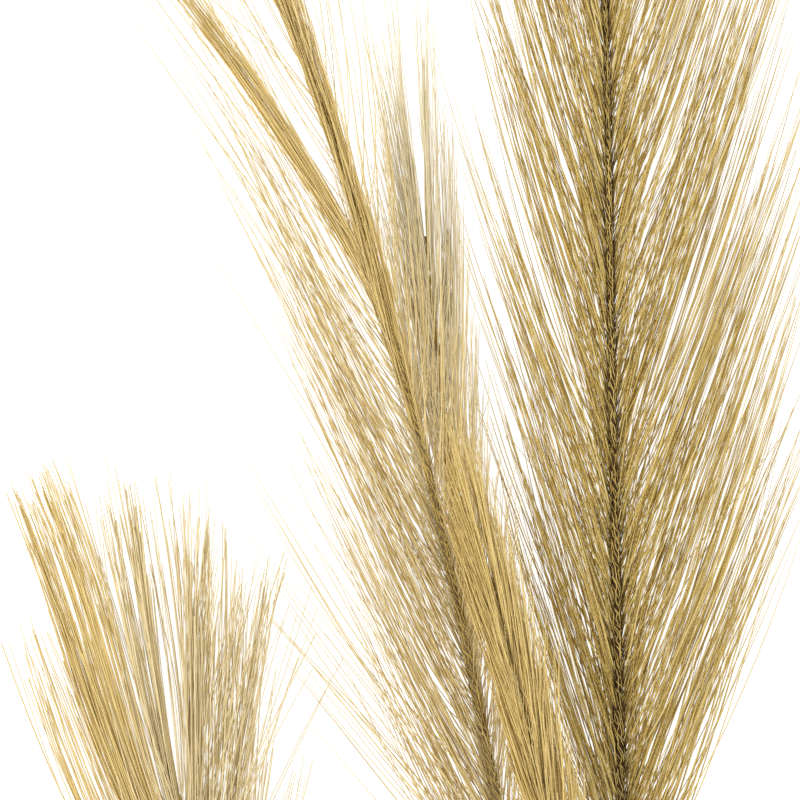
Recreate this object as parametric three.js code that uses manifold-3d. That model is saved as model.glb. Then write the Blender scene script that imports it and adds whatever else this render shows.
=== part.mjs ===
// A bundle of five dried pampas grass stems, bound with twine and laid on its side.
// Millimetres, +Z up. The cut ends point to -Y and the plumes to +Y, and the bundle lies
// on Z = 0. The origin is the middle of its footprint.
//
// Each stem is one solid from its cut end to the tip of its rachis, the axis inside the
// plume. A plume's hair grows in branches that leave the rachis left and right, and each
// branch is a soft solid of its own: a flat, curved blade of about the hair's outline.
import * as THREE from "three";
import { mergeVertices } from "three/addons/utils/BufferGeometryUtils.js";
import Module from "manifold-3d";

const wasm = await Module();
wasm.setup();

// ---- Driving dimensions ----

const culm = {
  buttRadius: 4.2, // at the cut end, and all through the twine
  neckRadius: 3.2, // where the plume starts
  tipRadius: 1.0, // at the end of the rachis
  clearance: 0.5, // between neighbouring stems in the twine
  knuckleSwell: 0.22, // how far a grass joint stands out, as a share of the radius
  knuckleLength: 9,
  knucklePlaces: [290, 450], // along the stem, from the cut end
  ringSpacing: 34,
  sides: 8,
};
const twine = {
  thickness: 2.4,
  turns: 4,
  clearance: 0.5, // to the stems inside it
  knotRadius: 3.4,
  knotClearance: 0.6,
  tailLength: 13,
  arcSteps: 5, // round each turn
  sides: 28, // round the bundle
};
const buttLength = 160; // from the twine to the cut ends
const straightLength = 24; // the stems stay together this far past the twine
const floorGap = 0.3; // under the lowest turn of twine, before the bundle settles
const lowestPlume = 5; // under the two plumes that lie lowest, for their tips to sag
const plumeGap = 1; // between a plume and one that lies on it
const bedding = 10.5; // how far the middle plume's right side beds into the right plume
const branch = {
  rootClearance: 0.6, // to the rachis
  gap: 1.6, // between neighbouring branches
  rootTurn: 3, // power of the curve that turns the hair from its root angle
  sections: 7,
  sides: 8,
};

// path: the stem beyond the twine. x and y run from the middle of the twine, and the
//   third number is a share of the climb from the twine to the plume's own level.
// place: the stem's place round the middle of the twine, in degrees from +X to +Z.
// cut: how much longer its butt is than buttLength.
// hair: where along Y the hair starts, and the branches on each side of the rachis.
//   rootAngle, low and high are degrees from the rachis: at the root of the hair, then
//   further out on the lowest and on the highest branch. length runs low, middle, high.
//   sag is how far the hair's tips drop, and thickness is the blade's at its thickest.
const stems = {
  right: {
    place: 18,
    cut: 0,
    path: [
      [8, 150, 0.21],
      [7, 325, 0.82],
      [5, 475, 1],
      [1, 675, 1],
      [-2.5, 875, 0.94],
      [-6, 960, 0.85],
    ],
    hairFrom: 400,
    left: {
      count: 8, rootAngle: 32, low: 15, high: 9, length: [160, 225, 140],
      sag: 8, thickness: 34,
    },
    right: {
      count: 8, rootAngle: 34, low: 27, high: 13, length: [165, 260, 140],
      sag: 32, thickness: 34,
    },
  },
  middle: {
    place: 162,
    cut: -9,
    path: [
      [-12, 150, 0.15],
      [-32, 330, 0.78],
      [-57, 475, 1],
      [-90, 635, 1.02],
      [-108, 705, 1],
      [-136, 800, 0.97],
      [-160, 865, 0.93],
      [-176, 905, 0.9],
    ],
    hairFrom: 385,
    left: {
      count: 7, rootAngle: 33, low: 21, high: 12, length: [160, 220, 150],
      sag: 22, thickness: 30,
    },
    right: {
      count: 7, rootAngle: 28, low: 12, high: 8, length: [100, 130, 140],
      sag: -12, thickness: 26,
    },
  },
  back: {
    place: 306,
    cut: 6,
    path: [
      [-6, 150, 0],
      [-28, 300, 0.5],
      [-50, 420, 0.95],
      [-70, 560, 1],
      [-86, 700, 1],
      [-92, 760, 1],
    ],
    hairFrom: 540,
    left: {
      count: 3, rootAngle: 26, low: 10, high: 7, length: [110, 120, 110],
      sag: 2, thickness: 27,
    },
    right: {
      count: 3, rootAngle: 26, low: 9, high: 7, length: [110, 120, 110],
      sag: 2, thickness: 27,
    },
  },
  front: {
    place: 90,
    cut: -4,
    path: [
      [3, 150, 0.28],
      [-4, 300, 0.79],
      [-18, 400, 0.99],
      [-34, 475, 1.02],
      [-52, 550, 1],
      [-62, 592, 0.98],
    ],
    hairFrom: 395,
    left: {
      count: 3, rootAngle: 20, low: 7, high: 5, length: [115, 115, 80],
      sag: 3, thickness: 24,
    },
    right: {
      count: 3, rootAngle: 20, low: 7, high: 5, length: [115, 115, 80],
      sag: 3, thickness: 24,
    },
  },
  left: {
    place: 234,
    cut: -14,
    path: [
      [-20, 60, 0.05],
      [-84, 140, 0.35],
      [-143, 210, 0.75],
      [-178, 270, 1],
      [-198, 360, 1],
      [-219, 472, 0.95],
    ],
    hairFrom: 300,
    left: {
      count: 5, rootAngle: 32, low: 18, high: 7, length: [170, 190, 180],
      sag: 4, thickness: 34,
    },
    right: {
      count: 5, rootAngle: 34, low: 26, high: 20, length: [150, 180, 175],
      sag: 4, thickness: 34,
    },
  },
};

// ---- Sizes worked out from them ----

const up = new THREE.Vector3(0, 0, 1);
const stemCount = Object.keys(stems).length;
const packRadius =
  (culm.buttRadius + culm.clearance / 2) / Math.sin(Math.PI / stemCount);
const bindRadius = packRadius + culm.buttRadius + twine.clearance;
const twineHeight = bindRadius + twine.thickness + floorGap; // its middle, above the floor

// How high each plume's rachis lies. The left and back plumes are lowest, the right one
// lies on the back one, the middle one on the right one's edge, and the front one on top.
const halfDepth = ({ left, right }) => Math.max(left.thickness, right.thickness) / 2;
const level = {};
level.left = lowestPlume + halfDepth(stems.left);
level.back = lowestPlume + halfDepth(stems.back);
level.right = level.back + halfDepth(stems.back) + plumeGap + halfDepth(stems.right);
level.middle =
  level.right +
  halfDepth(stems.right) +
  stems.middle.right.thickness / 2 -
  bedding;
level.front =
  level.middle +
  stems.middle.right.thickness / 2 -
  stems.middle.right.sag +
  plumeGap +
  halfDepth(stems.front);

const strawColour = new THREE.MeshStandardMaterial({
  color: 0xb08a4c, roughness: 0.62, metalness: 0,
});
const hairColour = new THREE.MeshStandardMaterial({
  color: 0xc9ad72, roughness: 0.8, metalness: 0,
});
const twineColour = new THREE.MeshStandardMaterial({
  color: 0xa98a5c, roughness: 0.9, metalness: 0,
});

// ---- Shape helpers ----

const mix = THREE.MathUtils.lerp;
const radians = THREE.MathUtils.degToRad;

// A value that runs low, middle, high along a plume.
function along([low, middle, high], share) {
  return share < 0.5
    ? mix(low, middle, share * 2)
    : mix(middle, high, share * 2 - 1);
}

// A closed rod with a ring for each section: its centre, and the two half axes of its oval.
function loft(sections, sides) {
  const shape = new THREE.CylinderGeometry(1, 1, 1, sides, sections.length - 1);
  const corners = shape.attributes.position;
  for (let i = 0; i < corners.count; i++) {
    const step = Math.round((corners.getY(i) + 0.5) * (sections.length - 1));
    const { centre, across, rise } = sections[step];
    const corner = centre
      .clone()
      .addScaledVector(across, corners.getX(i))
      .addScaledVector(rise, corners.getZ(i));
    corners.setXYZ(i, corner.x, corner.y, corner.z);
  }
  return shape;
}

// The level frame at a share of a curve: the way along, the way to its right, and up.
function frameAt(curve, share) {
  const ahead = curve.getTangentAt(share);
  const side = new THREE.Vector3().crossVectors(ahead, up).normalize();
  return {
    at: curve.getPointAt(share),
    ahead,
    side,
    rise: new THREE.Vector3().crossVectors(side, ahead),
  };
}

// The share of a curve's length at which it reaches y.
function shareAtY(curve, y) {
  let low = 0;
  let high = 1;
  for (let i = 0; i < 30; i++) {
    const middle = (low + high) / 2;
    if (curve.getPointAt(middle).y < y) low = middle;
    else high = middle;
  }
  return low;
}

// ---- Stems ----

// The butts slope down until the lowest two of them touch the floor at their cut ends.
function stemCurve({ place, cut, path }, plumeLevel) {
  const angle = radians(place);
  const x = packRadius * Math.cos(angle);
  const z = packRadius * Math.sin(angle);
  const lowest = packRadius * Math.sin(Math.PI * (0.5 - 1 / stemCount));
  const cutHeight = culm.buttRadius + lowest;
  const points = [
    [x, -buttLength - cut, cutHeight + z],
    [x, -straightLength, twineHeight + z],
    [x, straightLength, twineHeight + z],
    ...path.map(([px, py, climb]) => [px, py, mix(twineHeight + z, plumeLevel, climb)]),
  ];
  const curve = new THREE.CatmullRomCurve3(
    points.map((p) => new THREE.Vector3(...p)),
    false,
    "centripetal",
  );
  curve.arcLengthDivisions = 800;
  return curve;
}

function culmRadius(distance, hairStart, length) {
  if (distance > hairStart) {
    const share = (distance - hairStart) / (length - hairStart);
    return mix(culm.neckRadius, culm.tipRadius, share);
  }
  const parallel = buttLength + straightLength;
  const share = (distance - parallel) / (hairStart - parallel);
  return mix(culm.buttRadius, culm.neckRadius, Math.max(0, share));
}

// The distances along the stem at which it gets a ring: evenly, and three at each knuckle.
function ringPlaces(length) {
  const count = Math.round(length / culm.ringSpacing);
  const even = Array.from({ length: count + 1 }, (_, i) => (i * length) / count);
  const isClear = (d) =>
    culm.knucklePlaces.every((place) => Math.abs(d - place) > culm.knuckleLength);
  const knuckles = culm.knucklePlaces.flatMap((place) => [
    place - culm.knuckleLength / 2,
    place,
    place + culm.knuckleLength / 2,
  ]);
  return [...even.filter(isClear), ...knuckles].sort((a, b) => a - b);
}

function stem(curve, hairStart) {
  const length = curve.getLength();
  const sections = ringPlaces(length).map((distance) => {
    const { at, side, rise } = frameAt(curve, Math.min(1, distance / length));
    const swell = culm.knucklePlaces.includes(distance) ? 1 + culm.knuckleSwell : 1;
    const radius = swell * culmRadius(distance, hairStart, length);
    return {
      centre: at,
      across: side.multiplyScalar(radius),
      rise: rise.multiplyScalar(radius),
    };
  });
  return loft(sections, culm.sides);
}

// ---- Branches of hair ----

// A point of the blade's middle sheet: hair rooted at a share of the stem's curve,
// followed for a share of its length, out to the left (-1) or the right (+1).
function hairPoint(curve, rootShare, hand, angle, side, length, follow) {
  const { at, ahead, side: right, rise } = frameAt(curve, rootShare);
  const turned = (1 - (1 - follow) ** branch.rootTurn) / branch.rootTurn;
  const root = radians(side.rootAngle);
  const set = radians(angle);
  const outward =
    Math.sin(set) * follow + (Math.sin(root) - Math.sin(set)) * turned;
  const forward =
    Math.cos(set) * follow + (Math.cos(root) - Math.cos(set)) * turned;
  const start = culm.neckRadius + branch.rootClearance;
  return at
    .addScaledVector(ahead, forward * length)
    .addScaledVector(right, hand * (start + outward * length))
    .addScaledVector(rise, -side.sag * follow ** 2);
}

function bladeOf(curve, from, to, hand, side, share) {
  const angle = mix(side.low, side.high, share);
  const length = along(side.length, share);
  const sections = Array.from({ length: branch.sections + 1 }, (_, i) => {
    const follow = i / branch.sections;
    const lower = hairPoint(curve, from, hand, angle, side, length, follow);
    const upper = hairPoint(curve, to, hand, angle, side, length, follow);
    const width = follow < 0.6 ? 1 : mix(1, 0.3, (follow - 0.6) / 0.4);
    const depth = mix(0.3, 1, Math.sin(Math.PI * Math.min(1, follow * 0.9) ** 0.8));
    return {
      centre: lower.clone().add(upper).multiplyScalar(0.5),
      across: upper.clone().sub(lower).multiplyScalar(0.5 * width),
      rise: up.clone().multiplyScalar(-hand * 0.5 * side.thickness * depth),
    };
  });
  return loft(sections, branch.sides);
}

function blades(name, curve, hairFrom, hand, side) {
  const length = curve.getLength();
  const start = shareAtY(curve, hairFrom);
  const gap = branch.gap / length;
  return Array.from({ length: side.count }, (_, i) => {
    const from = mix(start, 1, i / side.count) + gap / 2;
    const to = mix(start, 1, (i + 1) / side.count) - gap / 2;
    const blade = bladeOf(curve, from, to, hand, side, i / (side.count - 1));
    const mesh = new THREE.Mesh(blade, hairColour);
    mesh.name = `${name}_branch_${i + 1}`;
    return mesh;
  });
}

// ---- Twine ----

// The turns lie side by side, so the ring's outside is a row of half rounds.
function twineRing() {
  const radius = twine.thickness / 2;
  const outline = [new THREE.Vector2(bindRadius, 0)];
  for (let turn = 0; turn < twine.turns; turn++)
    for (let step = turn ? 1 : 0; step <= twine.arcSteps; step++) {
      const angle = Math.PI * (step / twine.arcSteps - 0.5);
      outline.push(
        new THREE.Vector2(
          bindRadius + radius + radius * Math.cos(angle),
          (turn + 0.5) * twine.thickness + radius * Math.sin(angle),
        ),
      );
    }
  outline.push(new THREE.Vector2(bindRadius, twine.turns * twine.thickness));
  outline.push(outline[0].clone());
  const ring = new THREE.LatheGeometry(outline, twine.sides);
  ring.translate(0, (-twine.turns * twine.thickness) / 2, 0);
  return new THREE.Mesh(ring, twineColour);
}

// A merged, closed mesh as a manifold-3d solid, and back.
function asSolid(shape) {
  shape.deleteAttribute("normal");
  shape.deleteAttribute("uv");
  const merged = mergeVertices(shape, 1e-4);
  return new wasm.Manifold(
    new wasm.Mesh({
      numProp: 3,
      vertProperties: merged.attributes.position.array,
      triVerts: new Uint32Array(merged.index.array),
    }),
  );
}

function asShape(solid) {
  const { vertProperties, triVerts } = solid.getMesh();
  return new THREE.BufferGeometry()
    .setAttribute("position", new THREE.BufferAttribute(vertProperties, 3))
    .setIndex(new THREE.BufferAttribute(triVerts, 1));
}

// The overhand knot on top of the ring, with its two short trimmed tails.
function twineKnot() {
  const thick = twine.thickness / 2;
  const knot = new THREE.SphereGeometry(twine.knotRadius, 14, 10);
  knot.scale(1, 1.15, 0.8);
  let solid = asSolid(knot);
  for (const hand of [-1, 1]) {
    const tail = new THREE.CatmullRomCurve3([
      new THREE.Vector3(0, 0, 0),
      new THREE.Vector3(hand * 0.4 * twine.tailLength, 1, 0.6),
      new THREE.Vector3(hand * twine.tailLength, 3, -1.6),
    ]);
    const sections = [0, 0.25, 0.5, 0.75, 1].map((share) => {
      const { at, side, rise } = frameAt(tail, share);
      return {
        centre: at,
        across: side.multiplyScalar(thick),
        rise: rise.multiplyScalar(thick),
      };
    });
    solid = solid.add(asSolid(loft(sections, 8)));
  }
  return new THREE.Mesh(asShape(solid), twineColour);
}

// ---- The bundle ----

const bundle = new THREE.Group();
for (const [name, made] of Object.entries(stems)) {
  const curve = stemCurve(made, level[name]);
  const hairStart = shareAtY(curve, made.hairFrom) * curve.getLength();
  const rod = new THREE.Mesh(stem(curve, hairStart), strawColour);
  rod.name = `${name}_stem`;
  bundle.add(
    rod,
    ...blades(`${name}_plume_left`, curve, made.hairFrom, -1, made.left),
    ...blades(`${name}_plume_right`, curve, made.hairFrom, 1, made.right),
  );
}
const ring = twineRing();
ring.name = "twine_binding";
ring.position.z = twineHeight;
const knot = twineKnot();
knot.name = "twine_knot";
knot.position.z =
  twineHeight + bindRadius + twine.thickness + twine.knotClearance + 0.8 * twine.knotRadius;
bundle.add(ring, knot);

const box = new THREE.Box3().setFromObject(bundle, true);
const middle = box.getCenter(new THREE.Vector3());
bundle.position.set(-middle.x, -middle.y, -box.min.z);

export default bundle;
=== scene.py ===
import math

import bpy
import numpy as np
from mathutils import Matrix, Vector


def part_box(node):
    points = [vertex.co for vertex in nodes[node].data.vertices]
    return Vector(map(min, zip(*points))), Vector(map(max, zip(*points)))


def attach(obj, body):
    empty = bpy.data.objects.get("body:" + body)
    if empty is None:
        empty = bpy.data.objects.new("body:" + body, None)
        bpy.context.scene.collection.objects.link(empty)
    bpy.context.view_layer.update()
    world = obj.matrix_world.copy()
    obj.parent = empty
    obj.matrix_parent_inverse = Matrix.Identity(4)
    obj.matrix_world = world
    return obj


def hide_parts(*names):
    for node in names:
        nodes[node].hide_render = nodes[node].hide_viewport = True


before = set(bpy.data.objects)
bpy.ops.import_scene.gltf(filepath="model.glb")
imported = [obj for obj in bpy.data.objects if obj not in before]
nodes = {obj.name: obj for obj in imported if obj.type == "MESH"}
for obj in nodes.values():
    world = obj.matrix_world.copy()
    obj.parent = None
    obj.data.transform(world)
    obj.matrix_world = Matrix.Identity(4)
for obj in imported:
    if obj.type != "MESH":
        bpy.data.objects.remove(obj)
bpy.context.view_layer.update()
scene = bpy.context.scene


class Wire:  # one output of a node
    def __init__(self, graph, socket):
        self.graph = graph
        self.socket = socket

    def other(self, name):  # another output of the same node
        return Wire(self.graph, self.socket.node.outputs[name])

    def combine(self, operation, other, swapped=False):
        pair = (other, self) if swapped else (self, other)
        vectors = [isVector(value) for value in pair]
        if not any(vectors):
            return self.graph.math(operation, *pair)
        if operation == "MULTIPLY" and not all(vectors):
            vector, number = pair if vectors[0] else pair[::-1]
            values = {0: vector, "Scale": number}
            return self.graph.node("ShaderNodeVectorMath", {"operation": "SCALE"}, values)
        return self.graph.vector(operation, *pair)

    def __add__(self, other):
        return self.combine("ADD", other)

    def __radd__(self, other):
        return self.combine("ADD", other, True)

    def __sub__(self, other):
        return self.combine("SUBTRACT", other)

    def __rsub__(self, other):
        return self.combine("SUBTRACT", other, True)

    def __mul__(self, other):
        return self.combine("MULTIPLY", other)

    def __rmul__(self, other):
        return self.combine("MULTIPLY", other, True)

    def __truediv__(self, other):
        return self.combine("DIVIDE", other)

    def __pow__(self, other):
        return self.combine("POWER", other)

    def __neg__(self):
        return self * -1.0


def isVector(value):
    return isinstance(value, Wire) and value.socket.type == "VECTOR"


class Graph:  # a shader or geometry tree under construction
    def __init__(self, tree):
        self.tree = tree

    def math(self, operation, *values):
        return self.node("ShaderNodeMath", {"operation": operation}, dict(enumerate(values)))

    def vector(self, operation, *values):
        settings = {"operation": operation}
        return self.node("ShaderNodeVectorMath", settings, dict(enumerate(values)))

    def node(self, kind, settings=None, values=None, out=None):
        made = self.tree.nodes.new(kind)
        for key, value in (settings or {}).items():
            if key == "stops":
                setStops(made.color_ramp, value)
            else:
                setattr(made, key, value)
        for key, value in (values or {}).items():
            self.fill(made, key, value)
        shown = [socket for socket in made.outputs if socket.enabled]
        return Wire(self, made.outputs[out] if out else shown[0])

    def fill(self, made, key, value):
        if isinstance(key, int):
            socket = made.inputs[key]
        else:
            socket = next(s for s in made.inputs if s.enabled and s.name == key)
        if isinstance(value, Wire):
            self.tree.links.new(value.socket, socket)
        elif value is not None:
            socket.default_value = value


def opaque(colour):
    return colour if isinstance(colour, Wire) else (*colour, 1.0)


def setStops(ramp, stops):
    while len(ramp.elements) < len(stops):
        ramp.elements.new(0.5)
    for element, (place, colour) in zip(ramp.elements, stops):
        element.position = place
        element.color = opaque(colour)


def smooth(graph, low, high, value):  # 0 below low, 1 above high, eased between
    settings = {"interpolation_type": "SMOOTHSTEP"}
    values = {"Value": value, "From Min": low, "From Max": high}
    return graph.node("ShaderNodeMapRange", settings, values)


def noiseAlong(graph, run, detail=1.0):
    settings = {"noise_dimensions": "1D"}
    values = {"W": run, "Scale": 1.0, "Detail": detail}
    return graph.node("ShaderNodeTexNoise", settings, values)


def noiseAt(graph, place, scale, detail):
    values = {"Vector": place, "Scale": scale, "Detail": detail}
    return graph.node("ShaderNodeTexNoise", None, values)


socketKinds = {
    float: "NodeSocketFloat", int: "NodeSocketInt", str: "NodeSocketGeometry",
    type(None): "NodeSocketMaterial",
}


def geometryTree(name, inputs):  # a tree and a Wire for each of its named inputs
    tree = bpy.data.node_groups.new(name, "GeometryNodeTree")
    graph = Graph(tree)
    for label, value in inputs.items():
        kind = socketKinds[type(value)]
        socket = tree.interface.new_socket(label, in_out="INPUT", socket_type=kind)
        if isinstance(value, (int, float)):
            socket.default_value = value
    tree.interface.new_socket("Geometry", in_out="OUTPUT", socket_type="NodeSocketGeometry")
    entry = tree.nodes.new("NodeGroupInput")
    wires = {label: Wire(graph, entry.outputs[label]) for label in inputs}
    return graph, wires


def finishTree(graph, geometry, material, rounded=True):
    whole = graph.node("GeometryNodeSetShadeSmooth", None, {
        "Geometry": geometry, "Shade Smooth": rounded,
    })
    whole = graph.node("GeometryNodeRealizeInstances", None, {"Geometry": whole})
    dressed = graph.node("GeometryNodeSetMaterial", None, {0: whole, "Material": material})
    leave = graph.tree.nodes.new("NodeGroupOutput")
    graph.tree.links.new(dressed.socket, leave.inputs[0])
    return graph.tree


def store(graph, geometry, values, domain="POINT", kind="FLOAT"):
    settings = {"data_type": kind, "domain": domain}
    for label, value in values.items():
        geometry = graph.node("GeometryNodeStoreNamedAttribute", settings, {
            "Geometry": geometry, "Name": label, "Value": value,
        })
    return geometry


def stored(graph, label, kind="FLOAT"):
    return graph.node("GeometryNodeInputNamedAttribute", {"data_type": kind}, {"Name": label})


def alongSpline(graph, measure):  # Factor runs from 0 to 1, Length is in metres
    return graph.node("GeometryNodeSplineParameter", None, None, measure)


def resampled(graph, curve, step):
    values = {"Curve": curve, "Length": step}
    return graph.node("GeometryNodeResampleCurve", {"mode": "LENGTH"}, values)


def widened(graph, curve, radius):
    return graph.node("GeometryNodeSetCurveRadius", None, {"Curve": curve, "Radius": radius})


def sideAndRise(graph, ahead):  # a level direction across a curve, and the one up from it
    side = graph.vector("CROSS_PRODUCT", ahead, (0.0, 0.0, 1.0))
    side = graph.vector("NORMALIZE", side)
    return side, graph.vector("CROSS_PRODUCT", side, ahead)


def numbered(graph, line, amount):  # copies of a curve, and the number each one carries
    copies = graph.node("GeometryNodeDuplicateElements", {"domain": "SPLINE"}, {
        "Geometry": line, "Amount": amount,
    })
    copies = store(graph, copies, {"number": copies.other("Duplicate Index")})
    return copies, stored(graph, "number")


def windRound(graph, copies, side, rise, angle, away):
    moved = side * (graph.math("COSINE", angle) * away)
    moved = moved + rise * (graph.math("SINE", angle) * away)
    return graph.node("GeometryNodeSetPosition", None, {"Geometry": copies, "Offset": moved})


def radiusScale(graph):  # newer Blender versions ask for the profile's scale
    probe = graph.tree.nodes.new("GeometryNodeCurveToMesh")
    asked = any(socket.name == "Scale" for socket in probe.inputs)
    graph.tree.nodes.remove(probe)
    return {"Scale": graph.node("GeometryNodeInputRadius")} if asked else {}


def fleshOut(graph, curve, sides, around=False):  # a closed skin as wide as the curve says
    profile = graph.node("GeometryNodeCurvePrimitiveCircle", {"mode": "RADIUS"}, {
        "Resolution": sides, "Radius": 1.0,
    })
    if around:
        profile = store(graph, profile, {"around": alongSpline(graph, "Factor")})
    return graph.node("GeometryNodeCurveToMesh", None, {
        "Curve": curve, "Profile Curve": profile, "Fill Caps": True, **radiusScale(graph),
    })


def grow(name, source, tree, values):  # runs a tree on an object and keeps a plain mesh
    modifier = source.modifiers.new("grow", "NODES")
    modifier.node_group = tree
    for item in tree.interface.items_tree:
        if item.in_out == "INPUT" and item.name in values:
            modifier[item.identifier] = values[item.name]
    graph = bpy.context.evaluated_depsgraph_get()
    mesh = bpy.data.meshes.new_from_object(source.evaluated_get(graph))
    source.modifiers.remove(modifier)
    mesh.name = name
    piece = bpy.data.objects.new(name, mesh)
    scene.collection.objects.link(piece)
    return piece


def declare(piece, node=None):  # all of it is one body
    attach(piece, "root")
    if node:
        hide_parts(node)


def newMaterial(name, fixed):  # the tree, and the Principled node with its fixed values
    material = bpy.data.materials.new(name)
    material.use_nodes = True
    shader = material.node_tree.nodes["Principled BSDF"]
    for key, value in fixed.items():
        shader.inputs[key].default_value = value
    return material, Graph(material.node_tree), shader


def painted(graph, label):  # a value stored on the mesh
    return graph.node("ShaderNodeAttribute", {"attribute_name": label}, None, "Fac")


def mixColour(graph, factor, a, b):
    first, second, result = 6, 7, 2  # where the node keeps its colours
    values = {"Factor": factor, first: opaque(a), second: opaque(b)}
    made = graph.node("ShaderNodeMix", {"data_type": "RGBA"}, values)
    return Wire(graph, made.socket.node.outputs[result])


def roughen(graph, shader, height, strength, depth):
    values = {"Height": height, "Strength": strength, "Distance": depth}
    graph.fill(shader, "Normal", graph.node("ShaderNodeBump", None, values))


hairLook = {
    # the hair's root colour: part its own darker base, part painted shade beside the rachis
    "root": (0.050, 0.021, 0.003),
    "dark": (0.19, 0.10, 0.018),
    "deep": (0.46, 0.315, 0.078),
    "middle": (0.65, 0.485, 0.155),
    "light": (0.78, 0.65, 0.34),
    "warm": (0.86, 0.62, 0.20),
    "pale": (0.90, 0.83, 0.64),
    "ground": 0.16,
    "toneDepth": 0.62,
    "beadLength": 0.0011,  # the fine light and dark marks along each hair
    "beadDepth": 0.64,
    "beadShift": 53.0,  # each hair starts elsewhere in the noise
    "driftScale": 38.0,
    "driftDepth": 0.5,
    "driftShift": 91.0,
    "tipLight": 0.08,
    "paleLight": 0.3,
    "rootLength": (0.005, 0.001),
    "relief": (0.35, 0.0002),
    "roughness": 0.6,
    "sheen": 0.2,
}


def hairMaterial(name, pale=0.0, warm=0.0, rootDarkAndShade=1.0):
    look = hairLook
    material, g, shader = newMaterial(name, {
        "Roughness": look["roughness"], "Specular IOR Level": look["sheen"],
    })
    tone = painted(g, "tone")
    run = painted(g, "run")
    reach = painted(g, "reach")
    beads = noiseAlong(g, run / look["beadLength"] + tone * look["beadShift"])
    drift = noiseAlong(g, run * look["driftScale"] + tone * look["driftShift"])
    shade = tone * look["toneDepth"] + look["ground"] + (drift - 0.5) * look["driftDepth"]
    shade = shade + (beads - 0.5) * look["beadDepth"]
    shade = shade + reach * look["tipLight"] + pale * look["paleLight"]
    stops = [
        (0.0, look["dark"]), (0.25, look["deep"]), (0.55, look["middle"]), (1.0, look["light"]),
    ]
    colour = g.node("ShaderNodeValToRGB", {"stops": stops}, {0: shade})
    # darker towards the root: part the hair's own colour, part painted shade beside the rachis
    rootDarkAndShadeMask = smooth(g, *look["rootLength"], run) * rootDarkAndShade
    colour = mixColour(g, rootDarkAndShadeMask, colour, look["root"])
    if warm:
        colour = mixColour(g, warm, colour, look["warm"])
    if pale:
        colour = mixColour(g, pale, colour, look["pale"])
    g.fill(shader, "Base Color", colour)
    roughen(g, shader, beads, *look["relief"])
    return material


culmLook = {
    "straw": (0.55, 0.40, 0.17),
    "brown": (0.27, 0.155, 0.05),
    "inside": (0.028, 0.011, 0.002),  # the rachis between the hair roots: part its own darker colour, part painted shade from the hair over it
    "grey": (0.40, 0.31, 0.17),
    "knuckle": (0.17, 0.09, 0.03),
    "pith": (0.66, 0.55, 0.36),
    "grain": (1500.0, 18.0, 1500.0),  # fibres run along the stem
    "grainDetail": 3.0,
    "blotches": (34.0, 4.0),
    "aged": (0.5, 0.72),
    "agedShare": 0.75,
    "insideShare": 0.95,
    "cells": 2200.0,
    "relief": (0.4, 0.0003),
    "roughness": 0.38,
    "fibreRoughness": 0.25,
    "insideRoughness": 0.4,
    "sheen": 0.25,
}


def culmMaterial():
    look = culmLook
    material, g, shader = newMaterial("culm", {"Specular IOR Level": look["sheen"]})
    upper = painted(g, "upper")
    spot = g.node("ShaderNodeTexCoord", None, None, "Object")
    grain = g.node("ShaderNodeMapping", None, {"Vector": spot, "Scale": look["grain"]})
    fibres = noiseAt(g, grain, 1.0, look["grainDetail"])
    blotches = noiseAt(g, spot, *look["blotches"])
    colour = mixColour(g, fibres, look["straw"], look["grey"])
    aged = smooth(g, *look["aged"], blotches) * look["agedShare"]
    colour = mixColour(g, aged, colour, look["brown"])
    # the rachis inside the plume: part its own darker colour, part painted shade from the hair
    # over it
    colour = mixColour(g, upper * look["insideShare"], colour, look["inside"])
    colour = mixColour(g, painted(g, "knuckle"), colour, look["knuckle"])
    cells = g.node("ShaderNodeTexVoronoi", None, {"Vector": spot, "Scale": look["cells"]})
    pith = mixColour(g, cells, look["brown"], look["pith"])
    colour = mixColour(g, painted(g, "cut"), colour, pith)
    g.fill(shader, "Base Color", colour)
    rough = look["roughness"] + fibres * look["fibreRoughness"]
    g.fill(shader, "Roughness", rough + upper * look["insideRoughness"])
    roughen(g, shader, fibres, *look["relief"])
    return material


twineLook = {
    "dark": (0.15, 0.09, 0.04),
    "middle": (0.43, 0.31, 0.17),
    "light": (0.62, 0.49, 0.31),
    "blotches": (260.0, 4.0),
    "around": 9.0,
    "twist": 900.0,
    "along": 140.0,
    "fibreDetail": 2.0,
    "fibreShare": 0.6,
    "blotchShare": 0.4,
    "relief": (0.6, 0.0003),
    "roughness": 0.9,
}


def twineMaterial():
    look = twineLook
    material, g, shader = newMaterial("jute", {"Roughness": look["roughness"]})
    run = painted(g, "run")
    spot = g.node("ShaderNodeTexCoord", None, None, "Object")
    blotches = noiseAt(g, spot, *look["blotches"])
    spiral = g.node("ShaderNodeCombineXYZ", None, {
        "X": painted(g, "around") * look["around"] + run * look["twist"],
        "Y": run * look["along"],
    })
    fibres = noiseAt(g, spiral, 1.0, look["fibreDetail"])
    stops = [(0.3, look["dark"]), (0.55, look["middle"]), (0.75, look["light"])]
    mixed = fibres * look["fibreShare"] + blotches * look["blotchShare"]
    colour = g.node("ShaderNodeValToRGB", {"stops": stops}, {0: mixed})
    g.fill(shader, "Base Color", colour)
    roughen(g, shader, fibres, *look["relief"])
    return material


slices = {
    "spacing": 0.008,
    "fromEnds": (0.0015, 0.0005),
}


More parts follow.
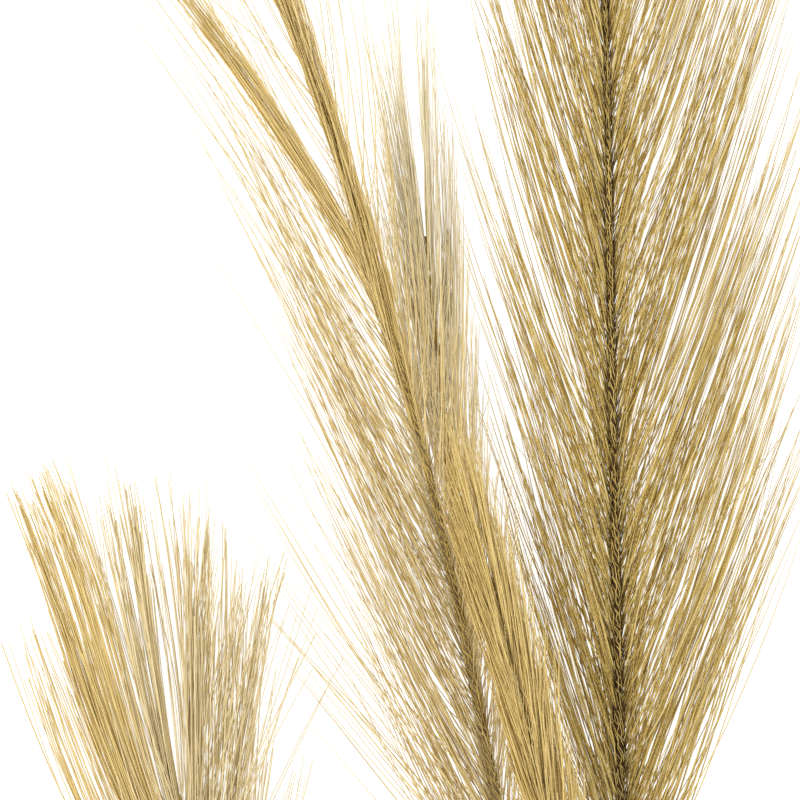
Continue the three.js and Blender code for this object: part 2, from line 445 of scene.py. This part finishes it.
def sliceCentres(node):  # centre and radius of a stem at even steps along +Y
    mesh = nodes[node].data
    corners = np.array([v.co for v in mesh.vertices])
    edges = corners[np.array([e.vertices for e in mesh.edges])]
    a, b = edges[:, 0], edges[:, 1]
    low = corners[:, 1].min()
    high = corners[:, 1].max()
    count = int((high - low) / slices["spacing"])
    rows = []
    for y in np.linspace(low + slices["fromEnds"][0], high - slices["fromEnds"][1], count):
        cut = (a[:, 1] - y) * (b[:, 1] - y) < 0
        share = ((y - a[cut, 1]) / (b[cut, 1] - a[cut, 1]))[:, None]
        points = a[cut] + (b[cut] - a[cut]) * share
        centre = (points.min(0) + points.max(0)) / 2
        rows.append((Vector(centre), np.ptp(points[:, 2]) / 2))
    return rows


def centreline(name, rows):  # an open curve through them, as wide as they are
    curve = bpy.data.curves.new(name, "CURVE")
    curve.dimensions = "3D"
    spline = curve.splines.new("POLY")
    spline.points.add(len(rows) - 1)
    for point, (centre, width) in zip(spline.points, rows):
        point.co = (*centre, 1.0)
        point.radius = width
    line = bpy.data.objects.new(name, curve)
    scene.collection.objects.link(line)
    return line


hairFacts = {
    "steps": 14,
    "sides": 3,
    "stepBias": 1.25,  # closer steps where the hair bends most
    "core": 0.0024,  # the hairs begin this far from the middle of the rachis
    "coreTaper": 0.55,
    "ringAngle": 1.3,
    "archFoot": 0.15,  # hairs arch above and below the plume's flat
    "archEnd": 0.9,
    "archBias": 0.8,
    "bunch": 3.5,  # this many neighbouring clumps lean the same way
    "ownLean": 0.4,
    "guideAt": (0.1, 0.9),
    "guideLean": 0.7,
    "guideLift": 0.8,
    "lengthBias": 0.7,
    "widthBias": 1.6,
    "rootTaper": (-0.02, 0.02),
    "clumpLength": (0.86, 1.0),
    "clumpTone": 0.4,
    "rootTurn": (0.3, 1.1),
    "strayTurn": 0.45,
    "strayShorter": 0.45,
    "closes": (0.72, 1.0),
    "joins": (0.05, 0.5),
    "joinPull": (0.6, 1.0),
    "partsAgain": 0.3,
    "wave": 0.0005,
    "waveTurns": (5.0, 13.0),
    "waveStart": 6.28,
    "curl": 0.004,
    "stripStart": 0.06,
    "stripWidth": 1.3,
    "margin": 0.01,
}


def hairTree():
    facts = hairFacts
    g, use = geometryTree("hairTuft", {
        "Rachis": "", "From": 0.0, "To": 1.0, "Hair start": 0.4, "Hand": 1.0,
        "Hairs": 100, "Clumps": 40, "Seed": 1, "Clump seed": 1,
        "Root angle": 0.65, "Low angle": 0.3, "High angle": 0.2, "Angle spread": 0.05,
        "Stray share": 0.03, "Low length": 0.15, "Middle length": 0.2, "High length": 0.12,
        "Shortest": 0.5, "Depth": 0.017, "Sag": 0.0, "Gather": 0.5, "Loose share": 0.3,
        "Thin": 0.00015, "Thick": 0.00035, "Tip": 0.4, "Closing": 0.8, "Sweep": 0.0,
        "Material": None,
    })
    points = g.node("GeometryNodePoints", None, {"Count": use["Hairs"]})
    points = store(g, points, {"hair": g.node("GeometryNodeInputIndex")}, kind="INT")
    line = g.node("GeometryNodeCurvePrimitiveLine")
    line = g.node("GeometryNodeResampleCurve", None, {"Curve": line, "Count": facts["steps"]})
    strands = g.node("GeometryNodeInstanceOnPoints", None, {"Points": points, "Instance": line})
    strands = g.node("GeometryNodeRealizeInstances", None, {"Geometry": strands})
    hair = stored(g, "hair", "INT")
    follow = alongSpline(g, "Factor") ** facts["stepBias"]

    def chance(low, high, which, salt, seed="Seed"):
        return g.node("FunctionNodeRandomValue", {"data_type": "FLOAT"}, {
            "Min": low, "Max": high, "ID": which, "Seed": use[seed] + float(salt),
        })

    def highUp(at):
        return g.math("MAXIMUM", (at - use["Hair start"]) / (1.0 - use["Hair start"]), 0.0)

    reach = (use["To"] - use["From"]) * (hair + chance(0.0, 1.0, hair, 1))
    share = use["From"] + reach / use["Hairs"]
    clump = g.math("FLOOR", share * use["Clumps"])
    guideShare = clump + chance(*facts["guideAt"], clump, 2, "Clump seed")
    guideShare = guideShare / use["Clumps"]
    bend = (1.0 - (1.0 - follow) ** 3.0) / 3.0
    arch = g.math("SINE", (follow * facts["archEnd"]) ** facts["archBias"] * math.pi)
    bulge = facts["archFoot"] + (1.0 - facts["archFoot"]) * arch

    height = highUp(share)
    rising = g.math("MINIMUM", height * 2.0, 1.0)
    falling = g.math("MAXIMUM", height * 2.0 - 1.0, 0.0)
    length = (
        use["Low length"]
        + (use["Middle length"] - use["Low length"]) * rising
        + (use["High length"] - use["Middle length"]) * falling
    )
    tall = chance(0.0, 1.0, hair, 3) ** facts["lengthBias"]
    length = length * (use["Shortest"] + (1.0 - use["Shortest"]) * tall)
    length = length * chance(*facts["clumpLength"], clump, 4, "Clump seed")
    stray = g.math("LESS_THAN", chance(0.0, 1.0, hair, 5), use["Stray share"])
    length = length * (1.0 - stray * facts["strayShorter"])

    closing = 1.0 - use["Closing"] * smooth(g, *facts["closes"], height)  # narrower at the tip
    rootAngle = use["Root angle"] * chance(*facts["rootTurn"], hair, 22) * closing

    def hairAt(at, angle, lift, ringAngle):
        spot = g.node("GeometryNodeSampleCurve", {"mode": "FACTOR"}, {
            "Curves": use["Rachis"], "Factor": at,
        }, "Position")
        ahead = spot.other("Tangent")
        side, rise = sideAndRise(g, ahead)
        out = g.math("SINE", angle)
        outward = out * follow + (g.math("SINE", rootAngle) - out) * bend
        on = g.math("COSINE", angle)
        forward = on * follow + (g.math("COSINE", rootAngle) - on) * bend
        core = facts["core"] * (1.0 - highUp(at) * facts["coreTaper"])
        sideways = use["Hand"] * (outward * length + core * g.math("COSINE", ringAngle))
        upward = core * g.math("SINE", ringAngle) + lift * bulge - use["Sag"] * follow ** 2.0
        placed = spot + ahead * (forward * length) + side * sideways + rise * upward
        return placed, side, rise

    setAngle = (use["Low angle"] + (use["High angle"] - use["Low angle"]) * height) * closing
    bunch = g.math("FLOOR", clump / facts["bunch"])
    setAngle = setAngle + chance(-1.0, 1.0, bunch, 24, "Clump seed") * use["Angle spread"]
    own = (
        setAngle
        + chance(-1.0, 1.0, hair, 6) * use["Angle spread"] * facts["ownLean"]
        + stray * chance(-facts["strayTurn"], facts["strayTurn"], hair, 7)
    )
    lean = chance(-1.0, 1.0, clump, 8, "Clump seed") * use["Angle spread"]
    guide = setAngle + lean * facts["guideLean"]
    lift = chance(-1.0, 1.0, hair, 9) * use["Depth"]
    guideLift = chance(-facts["guideLift"], facts["guideLift"], clump, 10, "Clump seed")
    guideLift = guideLift * use["Depth"]
    ring = chance(-facts["ringAngle"], facts["ringAngle"], hair, 11)
    placed, side, rise = hairAt(share, own, lift, ring)
    led, _, _ = hairAt(guideShare, guide, guideLift, 0.0)
    joins = g.math("GREATER_THAN", chance(0.0, 1.0, hair, 12), use["Loose share"])
    pull = smooth(g, *facts["joins"], follow) * (1.0 - facts["partsAgain"] * follow ** 2.0)
    pull = pull * joins * (1.0 - stray) * use["Gather"] * chance(*facts["joinPull"], hair, 13)
    placed = placed + (led - placed) * pull

    def ripple(salt):
        turns = chance(*facts["waveTurns"], hair, salt)
        return g.math("SINE", follow * turns + chance(0.0, facts["waveStart"], hair, salt + 1))

    curl = chance(-1.0, 1.0, hair, 18) * facts["curl"] + use["Sweep"] * use["Hand"]
    placed = placed + side * (ripple(14) * facts["wave"] * follow + curl * follow ** 3.0)
    placed = placed + rise * (ripple(16) * facts["wave"] * follow)
    strands = g.node("GeometryNodeSetPosition", None, {"Geometry": strands, "Position": placed})

    heavy = chance(0.0, 1.0, hair, 19) ** facts["widthBias"]
    width = use["Thin"] + (use["Thick"] - use["Thin"]) * heavy
    taper = smooth(g, *facts["rootTaper"], follow)
    taper = taper * (1.0 - (1.0 - use["Tip"]) * follow ** 3.0)
    strands = widened(g, strands, width * taper)
    tone = (
        chance(0.0, 1.0, hair, 20) * (1.0 - facts["clumpTone"])
        + chance(0.0, 1.0, clump, 21, "Clump seed") * facts["clumpTone"]
    )
    strands = store(g, strands, {"tone": tone, "run": follow * length, "reach": follow})
    fleshed = fleshOut(g, strands, facts["sides"], around=True)
    across = hair + facts["stripStart"] + stored(g, "around") * facts["stripWidth"]
    strip = g.node("ShaderNodeCombineXYZ", None, {  # every hair has its own strip
        "X": across / use["Hairs"],
        "Y": facts["margin"] + stored(g, "reach") * (1.0 - 2.0 * facts["margin"]),
    })
    mapped = store(g, fleshed, {"OFBake": strip}, "CORNER", "FLOAT2")
    return finishTree(g, mapped, use["Material"])


plumes = {  # metres and degrees, low and high on the plume
    "right": {
        "clumps": 95, "depth": 0.016, "rootAngle": 31, "spread": 3.4, "stray": 0.02,
        "gather": 0.88, "loose": 0.2, "shortest": 0.5, "thin": 0.00028, "thick": 0.00048,
        "thinning": (0.36, 0.05, 0.6),
        "left": {
            "hairs": 76, "angles": (16, 13), "lengths": (0.18, 0.26, 0.15), "sag": 0.008,
        },
        "right": {
            "hairs": 88, "angles": (21, 20), "lengths": (0.27, 0.31, 0.15), "sag": 0.030,
            "shortest": 0.55,
        },
        "locks": [  # short hair that fills in beside the rachis
            {"hand": -1, "at": (0.0, 0.92), "hairs": 300, "angles": (17, 10), "length": 0.09,
             "spread": 5.0, "gather": 0.3, "depth": 0.003, "sag": 0.0, "shortest": 0.35},
            {"hand": 1, "at": (0.0, 0.92), "hairs": 240, "angles": (17, 11), "length": 0.09,
             "spread": 5.0, "gather": 0.3, "depth": 0.003, "sag": 0.0, "shortest": 0.35},
        ],
    },
    "middle": {
        "clumps": 85, "depth": 0.014, "rootAngle": 29, "spread": 3.2, "stray": 0.03,
        "gather": 0.88, "loose": 0.2, "shortest": 0.5, "thin": 0.00026, "thick": 0.00045,
        "thinning": (0.85, 0.375, 0.625), "rachis": 0.7,
        "left": {
            "hairs": 64, "angles": (16, 6), "lengths": (0.19, 0.25, 0.18), "sag": 0.020,
        },
        "right": {
            "hairs": 62, "angles": (12, 7), "lengths": (0.12, 0.16, 0.15), "sag": -0.010,
        },
        "locks": [
            {"hand": -1, "at": (0.46, 0.86), "hairs": 90, "angles": (4, 2), "length": 0.15,
             "spread": 1.6, "gather": 0.2, "depth": 0.002, "sag": -0.005, "shortest": 0.6,
             "golden": True},
            {"hand": 1, "at": (0.48, 0.88), "hairs": 110, "angles": (3, 0), "length": 0.15,
             "spread": 1.6, "gather": 0.2, "depth": 0.002, "sag": -0.005, "shortest": 0.6,
             "golden": True},
            {"hand": -1, "at": (0.60, 0.64), "hairs": 75, "angles": (9, 20), "length": 0.225,
             "spread": 0.8, "gather": 0.85, "depth": 0.003, "sag": -0.008, "shortest": 0.8,
             "golden": True},
            {"hand": -1, "at": (0.30, 0.70), "hairs": 26, "angles": (30, 17), "length": 0.26,
             "spread": 6.0, "gather": 0.0, "depth": 0.010, "sag": 0.010, "shortest": 0.7},
            {"hand": -1, "at": (0.02, 0.24), "hairs": 36, "angles": (38, 26), "length": 0.23,
             "spread": 11.0, "gather": 0.0, "depth": 0.010, "sag": 0.015, "shortest": 0.6},
        ],
    },
    "back": {
        "clumps": 18, "depth": 0.012, "rootAngle": 14, "spread": 4.0, "stray": 0.02,
        "gather": 0.9, "loose": 0.12, "shortest": 0.5, "thin": 0.00026, "thick": 0.00045,
        "rachis": 0.0,
        "left": {
            "hairs": 58, "angles": (10, 7), "lengths": (0.13, 0.17, 0.17), "sag": 0.002,
        },
        "right": {
            "hairs": 50, "angles": (4, 1), "lengths": (0.13, 0.17, 0.17), "sag": 0.002,
        },
        "locks": [  # hides the end of the rachis
            {"hand": -1, "at": (0.55, 0.97), "hairs": 70, "angles": (4, 2), "length": 0.12,
             "spread": 2.4, "gather": 0.5, "depth": 0.003, "sag": -0.006, "shortest": 0.6},
        ],
    },
    "front": {
        "clumps": 40, "depth": 0.009, "rootAngle": 12, "spread": 2.4, "stray": 0.01,
        "gather": 0.4, "loose": 0.4, "shortest": 0.45, "thin": 0.00028, "thick": 0.00050,
        "rachis": 0.5,
        "left": {
            "hairs": 110, "angles": (6, 3), "lengths": (0.12, 0.12, 0.09), "sag": 0.003,
        },
        "right": {
            "hairs": 110, "angles": (6, 3), "lengths": (0.12, 0.12, 0.09), "sag": 0.003,
        },
        "locks": [
            {"hand": -1, "at": (0.0, 0.8), "hairs": 200, "angles": (4, 1), "length": 0.10,
             "spread": 3.0, "gather": 0.2, "depth": 0.003, "sag": -0.006, "shortest": 0.6},
        ],
    },
    "left": {
        "clumps": 36, "depth": 0.016, "rootAngle": 24, "spread": 4.2, "stray": 0.05,
        "gather": 0.9, "loose": 0.2, "shortest": 0.62, "thin": 0.00026, "thick": 0.00044,
        "tip": 0.85, "closing": 0.3, "rachis": 0.4,
        "left": {
            "hairs": 13, "angles": (15, 3), "lengths": (0.20, 0.22, 0.20), "sag": 0.004,
        },
        "right": {
            "hairs": 26, "angles": (22, 4), "lengths": (0.18, 0.21, 0.20), "sag": 0.004,
        },
        "locks": [
            {"hand": -1, "at": (0.638, 0.652), "hairs": 110, "angles": (31, -3), "length": 0.26,
             "spread": 0.25, "gather": 1.0, "depth": 0.002, "sag": -0.006, "shortest": 0.84,
             "sweep": 0.020, "golden": True},
            {"hand": -1, "at": (0.45, 0.47), "hairs": 60, "angles": (44, 8), "length": 0.22,
             "spread": 0.6, "gather": 0.9, "depth": 0.004, "sag": -0.004, "shortest": 0.8,
             "golden": True},
            {"hand": -1, "at": (0.66, 0.86), "hairs": 44, "angles": (9, 1.5), "length": 0.21,
             "spread": 2.4, "gather": 0.8, "depth": 0.005, "sag": -0.004, "shortest": 0.5},
            {"hand": -1, "at": (0.74, 0.90), "hairs": 46, "angles": (2, -2), "length": 0.22,
             "spread": 2.4, "gather": 0.7, "depth": 0.005, "sag": -0.004, "shortest": 0.7},
            {"hand": 1, "at": (0.55, 0.78), "hairs": 36, "angles": (8, 9), "length": 0.21,
             "spread": 4.0, "gather": 0.6, "depth": 0.006, "sag": -0.006, "shortest": 0.6},
            {"hand": -1, "at": (0.80, 0.98), "hairs": 34, "angles": (0, -4), "length": 0.19,
             "spread": 3.0, "gather": 0.5, "depth": 0.005, "sag": -0.004, "shortest": 0.55},
            {"hand": 1, "at": (0.76, 0.82), "hairs": 40, "angles": (10, 16), "length": 0.18,
             "spread": 1.6, "gather": 0.8, "depth": 0.004, "sag": -0.004, "shortest": 0.7},
            {"hand": 1, "at": (0.60, 0.64), "hairs": 40, "angles": (26, 20), "length": 0.22,
             "spread": 1.6, "gather": 0.8, "depth": 0.004, "sag": -0.004, "shortest": 0.7},
            {"hand": 1, "at": (0.50, 0.90), "hairs": 30, "angles": (34, 26), "length": 0.19,
             "spread": 12.0, "gather": 0.0, "depth": 0.012, "sag": 0.0, "shortest": 0.6},
        ],
    },
}


seeds = {
    "plume": 1000,
    "tuft": 37,
    "clump": 100,
    "locks": 700,
    "lock": 41,
    "lockClump": 50,
}


def shareAt(rows, y):  # the share of a centreline's length at which it reaches y
    gaps = [(b[0] - a[0]).length for a, b in zip(rows, rows[1:])]
    run = np.concatenate([[0.0], np.cumsum(gaps)])
    return float(np.interp(y, [centre.y for centre, _ in rows], run) / run[-1])


def growPlume(name, facts, start, line, tree, material, golden, seed):
    common = {
        "Hair start": start, "Clumps": facts["clumps"], "Stray share": facts["stray"],
        "Loose share": facts["loose"], "Thin": facts["thin"], "Thick": facts["thick"],
        "Tip": facts.get("tip", 0.4), "Closing": facts.get("closing", 0.8),
        "Material": material,
    }
    made = 0
    for hand, sideName in ((-1.0, "left"), (1.0, "right")):
        side = facts[sideName]
        low, high = side["angles"]
        tufts = sorted(n for n in nodes if n.startswith(f"{name}_plume_{sideName}_"))
        for i, node in enumerate(tufts):
            height = (i + 0.5) / len(tufts)
            share, begin, end = facts.get("thinning", (0, 0, 1))
            thinned = 1 - share * min(max((height - begin) / (end - begin), 0), 1)
            piece = grow(f"{name}Plume{sideName.title()}{i + 1}", line, tree, {
                **common,
                "From": start + (1 - start) * i / len(tufts),
                "To": start + (1 - start) * (i + 1) / len(tufts),
                "Hand": hand, "Hairs": int(side["hairs"] * thinned),
                "Seed": seed * seeds["plume"] + made * seeds["tuft"],
                "Clump seed": seed * seeds["clump"] + int(hand),
                "Root angle": math.radians(facts["rootAngle"]),
                "Low angle": math.radians(low), "High angle": math.radians(high),
                "Angle spread": math.radians(facts["spread"]),
                "Low length": side["lengths"][0], "Middle length": side["lengths"][1],
                "High length": side["lengths"][2], "Depth": facts["depth"],
                "Sag": side["sag"], "Gather": facts["gather"],
                "Shortest": side.get("shortest", facts["shortest"]),
            })
            declare(piece, node)
            made += 1
    for i, lock in enumerate(facts["locks"]):  # hair that hangs together
        low, high = (start + (1 - start) * share for share in lock["at"])
        root, tip = (math.radians(angle) for angle in lock["angles"])
        piece = grow(f"{name}Lock{i + 1}", line, tree, {
            **common,
            "From": low, "To": high, "Hand": float(lock["hand"]), "Hairs": lock["hairs"],
            "Seed": seed * seeds["plume"] + seeds["locks"] + i * seeds["lock"],
            "Clump seed": seed * seeds["clump"] + seeds["lockClump"] + i,
            "Root angle": root, "Low angle": tip, "High angle": tip,
            "Angle spread": math.radians(lock["spread"]),
            "Low length": lock["length"], "Middle length": lock["length"],
            "High length": lock["length"], "Depth": lock["depth"], "Sag": lock["sag"],
            "Gather": lock["gather"], "Shortest": lock["shortest"], "Stray share": 0.0,
            "Closing": 0.0, "Sweep": lock.get("sweep", 0.0),
            "Material": golden if lock.get("golden") else material,
        })
        declare(piece)
    return made


stemFacts = {
    "sides": 14,
    "ringEvery": 0.005,
    "knuckles": (0.29, 0.45),
    "knuckleWidth": 0.0035,
    "knuckleSwell": 0.16,
    "lumpScale": 30.0,
    "lumps": 0.12,
    "slimmer": 0.2,  # inside the plume
    "slimsOver": 0.1,
    "point": (0.90, 1.0),
    "pointSlimmer": 0.88,
    "darkens": (-0.08, 0.02),  # the rachis turns darker and takes its painted shade here, before and after the first hair
}


def stemTree():
    facts = stemFacts
    g, use = geometryTree("stem", {
        "Line": "", "Hair start": 0.5, "Darkness and shade": 1.0, "Material": None,
    })
    line = resampled(g, use["Line"], facts["ringEvery"])
    run = alongSpline(g, "Length")
    share = alongSpline(g, "Factor")
    start = use["Hair start"]

    def swell(place):
        return g.math("EXPONENT", -(((run - place) / facts["knuckleWidth"]) ** 2.0))

    knuckle = swell(facts["knuckles"][0]) + swell(facts["knuckles"][1])
    lumps = (noiseAlong(g, run * facts["lumpScale"]) - 0.5) * facts["lumps"]
    own = g.node("GeometryNodeInputRadius")
    wide = own * (1.0 + knuckle * facts["knuckleSwell"] + lumps)
    wide = wide * (1.0 - facts["slimmer"] * smooth(g, start, start + facts["slimsOver"], share))
    wide = wide * (1.0 - facts["pointSlimmer"] * smooth(g, *facts["point"], share))
    line = widened(g, line, wide)
    before, after = facts["darkens"]
    # darker rachis inside the plume: part its own colour, part painted shade from the hair over
    # it
    upper = smooth(g, start + before, start + after, share) * use["Darkness and shade"]
    line = store(g, line, {"knuckle": knuckle, "upper": upper})
    fleshed = fleshOut(g, line, facts["sides"])
    corners = g.node("GeometryNodeInputMeshFaceNeighbors", None, None, "Vertex Count")
    sawn = g.math("GREATER_THAN", corners, 4.0)  # only the end caps have more corners
    fleshed = store(g, fleshed, {"cut": sawn}, "FACE")
    return finishTree(g, fleshed, use["Material"], g.math("SUBTRACT", 1.0, sawn))


wrapFacts = {  # strands that wind round the rachis inside the plume
    "strands": 11,
    "sides": 4,
    "step": 0.0016,
    "pitch": 0.052,
    "thickness": 0.00027,
    "closeness": 0.82,
    "wander": 2.4,
    "wanderScale": 160.0,
    "wanderShift": 13.7,
    "wanderDetail": 2.0,
    "rise": 4.0,
    "riseBelow": 0.35,
    "riseScale": 420.0,
    "riseShift": 31.1,
    "brightest": 0.5,
    "toneSeed": 3,
    "fromRoot": 0.02,
}


def wrapTree():
    facts = wrapFacts
    g, use = geometryTree("rachisWrap", {"Line": "", "From": 0.5, "Material": None})
    line = g.node("GeometryNodeTrimCurve", {"mode": "FACTOR"}, {
        "Curve": use["Line"], "Start": use["From"], "End": 1.0,
    })
    line = resampled(g, line, facts["step"])
    copies, mark = numbered(g, line, facts["strands"])
    run = alongSpline(g, "Length")
    side, rise = sideAndRise(g, g.node("GeometryNodeInputTangent"))
    wander = run * facts["wanderScale"] + mark * facts["wanderShift"]
    wander = noiseAlong(g, wander, facts["wanderDetail"])
    turns = run / facts["pitch"] + mark / facts["strands"]
    angle = turns * 2.0 * math.pi + (wander - 0.5) * facts["wander"]
    rising = noiseAlong(g, run * facts["riseScale"] + mark * facts["riseShift"])
    rising = facts["thickness"] * (rising - facts["riseBelow"]) * facts["rise"]
    away = g.node("GeometryNodeInputRadius") * facts["closeness"] + rising
    copies = windRound(g, copies, side, rise, angle, away)
    copies = widened(g, copies, facts["thickness"])
    tone = g.node("FunctionNodeRandomValue", {"data_type": "FLOAT"}, {
        "Min": 0.0, "Max": facts["brightest"], "ID": mark, "Seed": facts["toneSeed"],
    })
    copies = store(g, copies, {
        "tone": tone, "run": facts["fromRoot"] + run, "reach": tone * 0.0,
    })
    return finishTree(g, fleshOut(g, copies, facts["sides"]), use["Material"])


twineFacts = {
    "turns": 4,
    "stepsInTurn": 40,
    "thickness": 0.0024,
    "plies": 3,
    "plyRadius": 0.25,  # in twine thicknesses
    "plyOut": 0.26,
    "sides": 8,
    "step": 0.0007,
    "twist": 0.0075,  # one full turn of the plies
}


def twineTree():
    facts = twineFacts
    g, use = geometryTree("twistedTwine", {"Path": "", "Material": None})
    line = resampled(g, use["Path"], facts["step"])
    copies, mark = numbered(g, line, facts["plies"])
    run = alongSpline(g, "Length")
    side = g.node("GeometryNodeInputNormal")
    rise = g.vector("CROSS_PRODUCT", side, g.node("GeometryNodeInputTangent"))
    angle = (run / facts["twist"] + mark / facts["plies"]) * 2.0 * math.pi
    away = facts["thickness"] * facts["plyOut"]
    copies = windRound(g, copies, side, rise, angle, away)
    copies = widened(g, copies, facts["thickness"] * facts["plyRadius"])
    copies = store(g, copies, {"run": run})
    fleshed = fleshOut(g, copies, facts["sides"], around=True)
    return finishTree(g, fleshed, use["Material"])


def windingPath(low, high):  # the turns lie side by side
    thick = twineFacts["thickness"]
    turns = twineFacts["turns"]
    each = twineFacts["stepsInTurn"]
    centre = (low + high) / 2
    radius = (high.x - low.x) / 2 - thick / 2
    rows = []
    steps = turns * each
    for i in range(steps + 1):
        angle = math.pi / 2 + 2 * math.pi * i / each
        along = (i / steps - 0.5) * (turns - 1) * thick
        spot = Vector((radius * math.cos(angle), along, radius * math.sin(angle)))
        rows.append((centre + spot, thick / 2))
    return rows


knotFacts = {
    "steps": 60,
    "start": 0.08,
    "turns": 1.16,
    "half": (0.0034, 0.0028, 0.0011),
    "radius": 0.001,
    "ends": (0.6, 0.95),  # in half widths of the knot
    "endRise": 0.0016,
    "endSink": 0.0012,
}


def knotPath(low, high):  # one trefoil loop with its ends pulled out to both sides
    facts = knotFacts
    centre = (low + high) / 2
    half = facts["half"]
    loop = []
    for i in range(facts["steps"] + 1):
        angle = 2 * math.pi * (i / facts["steps"] + facts["start"]) * facts["turns"]
        x = (math.sin(angle) + 2 * math.sin(2 * angle)) / 3
        y = (math.cos(angle) - 2 * math.cos(2 * angle)) / 3
        z = -math.sin(3 * angle)
        loop.append(centre + Vector((x * half[0], y * half[1], z * half[2])))
    way = -1.0 if loop[0].x < loop[-1].x else 1.0

    def end(side, share):
        out = side * way * (high.x - low.x) / 2 * share
        along = side * facts["endRise"] * share
        return centre + Vector((out, along, -facts["endSink"] * share))

    near, far = facts["ends"]
    path = [end(1.0, far), end(1.0, near), *loop, end(-1.0, near), end(-1.0, far)]
    return [(spot, facts["radius"]) for spot in path]


hairPlain = hairMaterial("hair")
# the golden locks: their own warmer tone, and painted light that lifts the shade in these dense
# locks, with no dark roots
hairGoldenAndPaintedLight = hairMaterial("hairGoldenAndPaintedLight", pale=0.12, warm=0.35, rootDarkAndShade=0.0)
looks = {
    "right": hairPlain,
    # paler middle plume: painted light lifting the shade cast on it by the front plume
    "middle": hairMaterial("hairMiddlePaintedLight", pale=0.22, warm=0.25, rootDarkAndShade=0.7),
    "back": hairMaterial("hairBack", pale=0.72, rootDarkAndShade=0.2),
    "front": hairMaterial("hairFront", pale=0.08, warm=0.35, rootDarkAndShade=0.5),
    "left": hairMaterial("hairLeft", pale=0.40, warm=0.20, rootDarkAndShade=0.3),
}
culm = culmMaterial()
tuft = hairTree()
stemShape = stemTree()
wrapShape = wrapTree()
for number, (name, facts) in enumerate(plumes.items(), 1):
    rows = sliceCentres(f"{name}_stem")
    line = centreline(f"{name}Line", rows)
    start = shareAt(rows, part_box(f"{name}_plume_left_branch_1")[0][1])
    made = growPlume(name, facts, start, line, tuft, looks[name], hairGoldenAndPaintedLight, number)
    print("plume", name, made, "tufts")
    # each plume's rachis value sets how much painted shade, with its own darker colour, the
    # rachis takes inside the hair
    stem = grow(f"{name}Stem", line, stemShape, {
        "Hair start": start, "Darkness and shade": facts.get("rachis", 1.0), "Material": culm,
    })
    declare(stem, f"{name}_stem")
    wrap = grow(f"{name}Wrap", line, wrapShape, {"From": start, "Material": hairPlain})
    declare(wrap)
    bpy.data.objects.remove(line)
print("stems done")

jute = twineMaterial()
twineShape = twineTree()
for name, node, path in (
    ("twineWinding", "twine_binding", windingPath), ("twineKnot", "twine_knot", knotPath),
):
    low, high = (Vector(corner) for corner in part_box(node))
    line = centreline(f"{name}Line", path(low, high))
    twine = grow(name, line, twineShape, {"Material": jute})
    declare(twine, node)
    bpy.data.objects.remove(line)
print("twine done")


studio = {
    "floor": (0.30, 0.30, 0.30),  # the glow makes it white, without shadows in the gaps
    "floorHalf": 6.0,
    "floorRoughness": 0.8,
    "glow": 0.88,
    "sky": 1.0,
    "white": (1.0, 1.0, 1.0),
    "lookAt": (-0.105, 0.675, 0.05),  # from the middle of the tie
    "lens": 85,
    "sensor": 36,
    "view": 0.4,
}
lights = {
    "key": {"place": (-0.9, 0.7, 1.5), "size": 0.7, "power": 18.0},
    "fill": {"place": (1.2, -0.4, 1.3), "size": 1.2, "power": 5.0},
}

floorMesh = bpy.data.meshes.new("floor")
half = studio["floorHalf"]
floorMesh.from_pydata(
    [(-half, -half, 0), (half, -half, 0), (half, half, 0), (-half, half, 0)],
    [], [(0, 1, 2, 3)],
)
floor = bpy.data.objects.new("floor", floorMesh)
scene.collection.objects.link(floor)
floorMaterial, _, _ = newMaterial("paleFloor", {
    "Roughness": studio["floorRoughness"], "Base Color": opaque(studio["floor"]),
    "Emission Color": opaque(studio["white"]), "Emission Strength": studio["glow"],
})
floorMesh.materials.append(floorMaterial)

world = bpy.data.worlds.new("studio")
world.use_nodes = True
sky = world.node_tree.nodes["Background"]
sky.inputs["Color"].default_value = opaque(studio["white"])
sky.inputs["Strength"].default_value = studio["sky"]
scene.world = world

low, high = (Vector(corner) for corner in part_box("twine_binding"))
tie = (low + high) / 2
x, y, z = studio["lookAt"]
lookAt = Vector((tie.x + x, tie.y + y, z))
for name, facts in lights.items():
    light = bpy.data.lights.new(name, "AREA")
    light.shape = "DISK"
    light.size = facts["size"]
    light.energy = facts["power"]
    lamp = bpy.data.objects.new(name, light)
    away = Vector(facts["place"])
    lamp.location = lookAt + away
    lamp.rotation_euler = (-away).to_track_quat("-Z", "Y").to_euler()
    scene.collection.objects.link(lamp)

lens = bpy.data.cameras.new("camera")
lens.lens = studio["lens"]
lens.sensor_width = studio["sensor"]
camera = bpy.data.objects.new("camera", lens)
away = studio["view"] * studio["lens"] / studio["sensor"]  # straight above
camera.location = lookAt + Vector((0, 0, away))
scene.collection.objects.link(camera)
scene.camera = camera
scene.view_settings.view_transform = "Standard"
